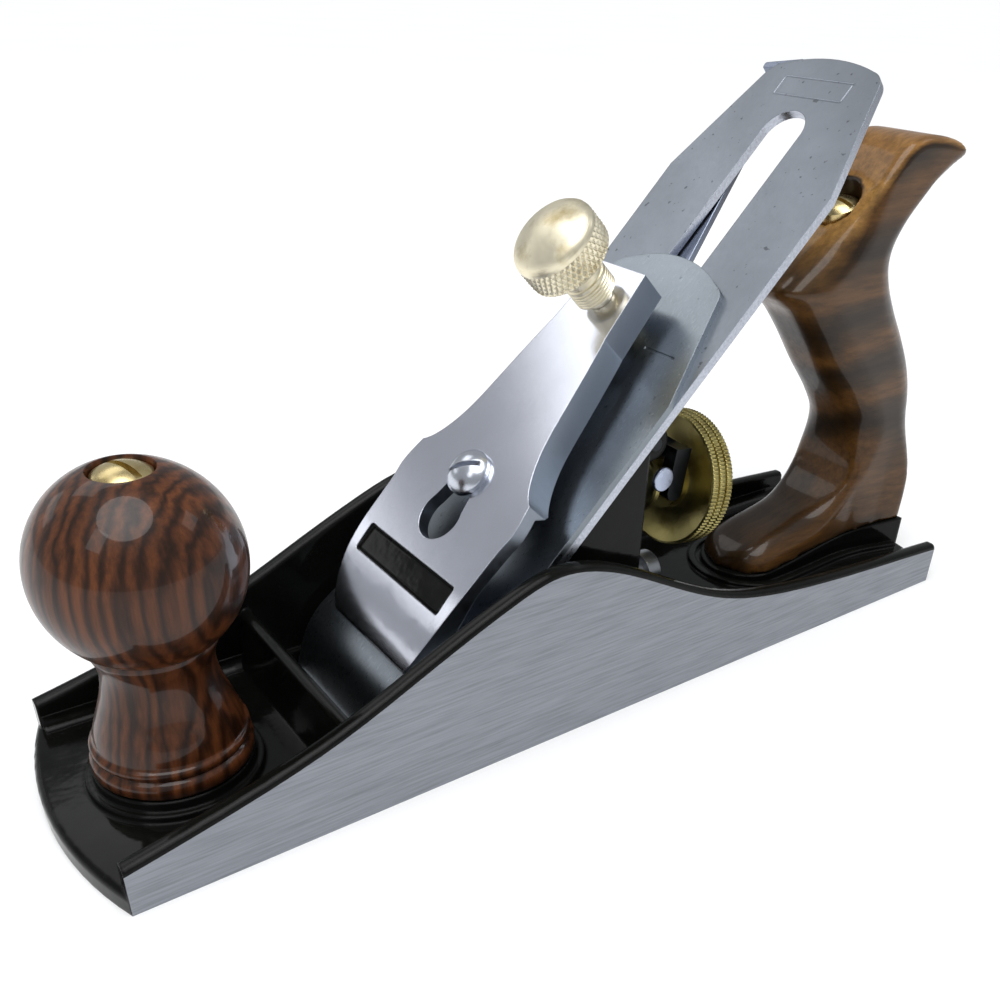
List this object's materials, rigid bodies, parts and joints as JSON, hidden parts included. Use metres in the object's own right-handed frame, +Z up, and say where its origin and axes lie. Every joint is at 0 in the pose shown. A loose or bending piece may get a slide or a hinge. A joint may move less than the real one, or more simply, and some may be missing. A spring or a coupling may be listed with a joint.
{
  "type": "hand plane",
  "caption": "Metal-bodied bench plane with an adjustable frog, a double iron, a lever cap with thumb screw, a round wooden knob and a wooden tote.",
  "frame": {"origin": "middle of the sole's underside, on the centre line, half way between toe and heel", "axes": "+X towards the toe, +Y to the user's left, +Z up from the sole"},
  "size_m": [0.245, 0.063, 0.1326],
  "materials": {
    "enamelled_iron": "gloss black stoving enamel on grey iron, sole and cheeks ground bright",
    "bright_steel": "satin ground steel",
    "iron_steel": "surface-ground tool steel, faintly specked",
    "plated": "polished nickel plate",
    "zinc_steel": "zinc-plated steel",
    "brass": "turned and polished brass",
    "rosewood": "glossy lacquer, dark vertical figure",
    "walnut": "glossy lacquer, dark streaks"
  },
  "bodies": {
    "body": {"sole_body": "enamelled_iron", "front_knob": "rosewood", "knob_bolt": "zinc_steel", "knob_nut": "brass", "rear_tote": "walnut", "tote_bolt": "zinc_steel", "tote_nut": "brass", "frog_screws": "zinc_steel", "frog_washers": "zinc_steel"},
    "frog": {"frog": "enamelled_iron", "frog_adjusting_plate": "zinc_steel", "plate_screw": "zinc_steel", "depth_stud": "bright_steel", "yoke_pivot_pin": "bright_steel", "lateral_pivot": "bright_steel", "lever_cap_screw": "plated"},
    "adjusting_screw": {"frog_adjusting_screw": "zinc_steel"},
    "wheel": {"depth_wheel": "brass"},
    "yoke": {"depth_yoke": "bright_steel"},
    "clamp_screw": {"cap_iron_screw": "bright_steel"},
    "irons": {"plane_iron": "iron_steel", "cap_iron": "iron_steel"},
    "lateral": {"lateral_lever": "bright_steel", "roller_rivet": "bright_steel"},
    "roller": {"lateral_roller": "bright_steel"},
    "lever": {"lever_cap": "plated"},
    "thumb": {"thumb_screw": "brass"}
  },
  "joints": [
    {"name": "frog_shift", "type": "slide", "parent": "body", "child": "frog", "axis": [1, 0, 0], "range_m": [0, 0.0015]},
    {"name": "adjusting_screw_turn", "type": "hinge", "parent": "frog", "child": "adjusting_screw", "pos_m": [-0.02, 0, 0.0136], "axis": [1, 0, 0], "range_deg": [0, 540]},
    {"name": "depth_wheel_turn", "type": "hinge", "parent": "frog", "child": "wheel", "pos_m": [-0.0365, 0, 0.0393], "axis": [0.9903, 0, 0.1392], "range_deg": [-242, 242]},
    {"name": "yoke_rock", "type": "hinge", "parent": "frog", "child": "yoke", "pos_m": [-0.025, 0, 0.0535], "axis": [0, 1, 0], "range_deg": [-3.4, 3.4]},
    {"name": "iron_feed", "type": "slide", "parent": "frog", "child": "clamp_screw", "axis": [0.7071, 0, -0.7071], "range_m": [-0.0012, 0.0012]},
    {"name": "lateral_swing", "type": "hinge", "parent": "frog", "child": "lateral", "pos_m": [-0.0153, 0, 0.07], "axis": [-0.7071, 0, -0.7071], "range_deg": [0, 22]},
    {"name": "iron_skew", "type": "hinge", "parent": "clamp_screw", "child": "irons", "pos_m": [0.02429, 0, 0.03041], "axis": [0.7071, 0, 0.7071], "range_deg": [0, 1]},
    {"name": "lateral_roller_turn", "type": "hinge", "parent": "lateral", "child": "roller", "pos_m": [-0.00835, 0.00172, 0.06446], "axis": [0.7071, 0, 0.7071], "continuous": true},
    {"name": "lever_cap_release", "type": "slide", "parent": "frog", "child": "lever", "axis": [-0.7071, 0, 0.7071], "range_m": [0, 0.0105]},
    {"name": "thumb_screw_turn", "type": "hinge", "parent": "lever", "child": "thumb", "pos_m": [-0.01021, 0, 0.08895], "axis": [0.7071, 0, 0.7071], "range_deg": [-720, 90]}
  ],
  "couplings": [
    {"joint": "adjusting_screw_turn", "follows": "frog_shift", "rad_per_m": 6283.2},
    {"joint": "yoke_rock", "follows": "iron_feed", "rad_per_m": 45.872},
    {"joint": "depth_wheel_turn", "follows": "iron_feed", "rad_per_m": 3490.7},
    {"joint": "iron_skew", "follows": "lateral_swing", "ratio": 0.045455}
  ]
}
